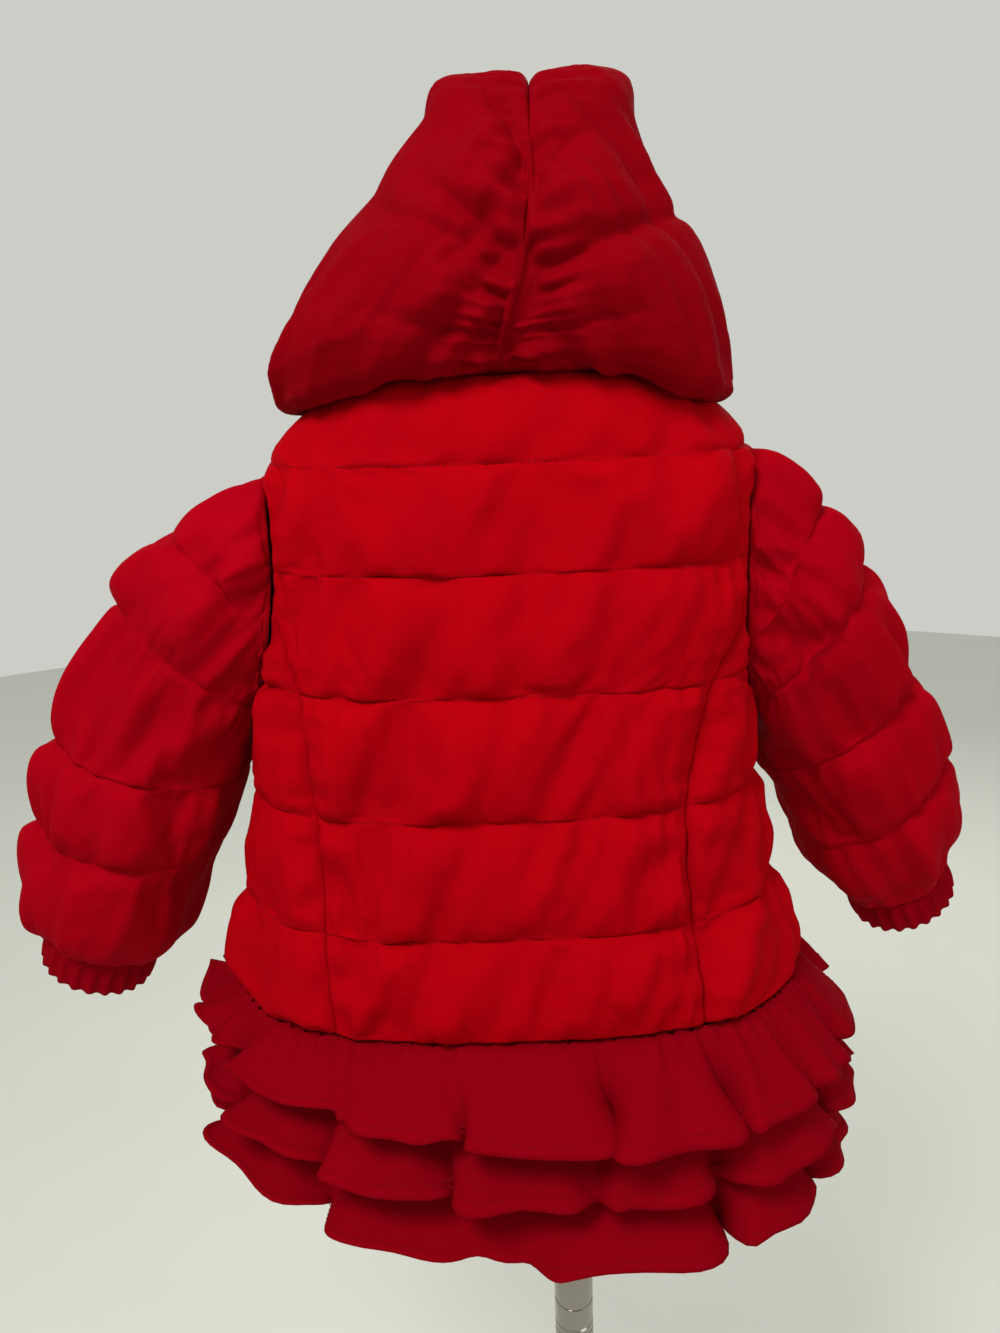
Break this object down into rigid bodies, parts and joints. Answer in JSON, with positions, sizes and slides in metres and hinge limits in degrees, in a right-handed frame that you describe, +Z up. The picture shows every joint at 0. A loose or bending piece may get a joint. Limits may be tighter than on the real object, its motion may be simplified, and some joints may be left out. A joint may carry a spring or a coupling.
{
  "type": "quilted coat on a dress form and pole stand",
  "caption": "Small child's red quilted coat with a hood, elastic cuffs and a gathered ruffle hem, seen from behind on a limbless dress form and pole stand.",
  "frame": {"origin": "centre of the stand base's underside, on the pole's axis", "axes": "+Z up along the pole, +Y out of the coat's back, +X towards the wearer's left"},
  "size_m": [0.6596, 0.3064, 1.323],
  "materials": {
    "red_quilted_shell": "matte woven polyester over padding",
    "red_frill_cloth": "matte thin woven polyester",
    "red_cuff_cloth": "gathered elastic cloth",
    "red_zip_tape": "woven tape",
    "zip_metal": "satin",
    "form_cover": "off-white finely speckled cover",
    "chrome_steel": "polished",
    "base_steel": "satin"
  },
  "bodies": {
    "stand": {"base_plate": "base_steel", "outer_tube": "chrome_steel"},
    "collar": {"lock_collar": "chrome_steel"},
    "mast": {"mast": "chrome_steel"},
    "form": {"form_torso": "form_cover", "back_centre": "red_quilted_shell", "back_side_left": "red_quilted_shell", "back_side_right": "red_quilted_shell", "front_left": "red_quilted_shell", "front_right": "red_quilted_shell", "sleeve_left": "red_quilted_shell", "sleeve_right": "red_quilted_shell", "hood_left": "red_quilted_shell", "hood_right": "red_quilted_shell", "ruffle_1": "red_frill_cloth", "ruffle_2": "red_frill_cloth", "ruffle_3": "red_frill_cloth", "cuff_left": "red_cuff_cloth", "cuff_right": "red_cuff_cloth", "zip_tape_left": "red_zip_tape", "zip_tape_right": "red_zip_tape", "zip_slider": "zip_metal"},
    "tab": {"zip_tab": "zip_metal"}
  },
  "joints": [
    {"name": "collar_twist", "type": "hinge", "parent": "stand", "child": "collar", "pos_m": [0, 0, 0.49], "axis": [0, 0, 1], "range_deg": [-90, 90]},
    {"name": "height_slide", "type": "slide", "parent": "stand", "child": "mast", "axis": [0, 0, 1], "range_m": [-0.05, 0.2]},
    {"name": "form_swivel", "type": "hinge", "parent": "mast", "child": "form", "pos_m": [0, 0, 0.62], "axis": [0, 0, 1], "continuous": true},
    {"name": "tab_swing", "type": "hinge", "parent": "form", "child": "tab", "pos_m": [0.028, -0.08322, 1.107], "axis": [1, 0, 0], "range_deg": [-170, 0]}
  ]
}
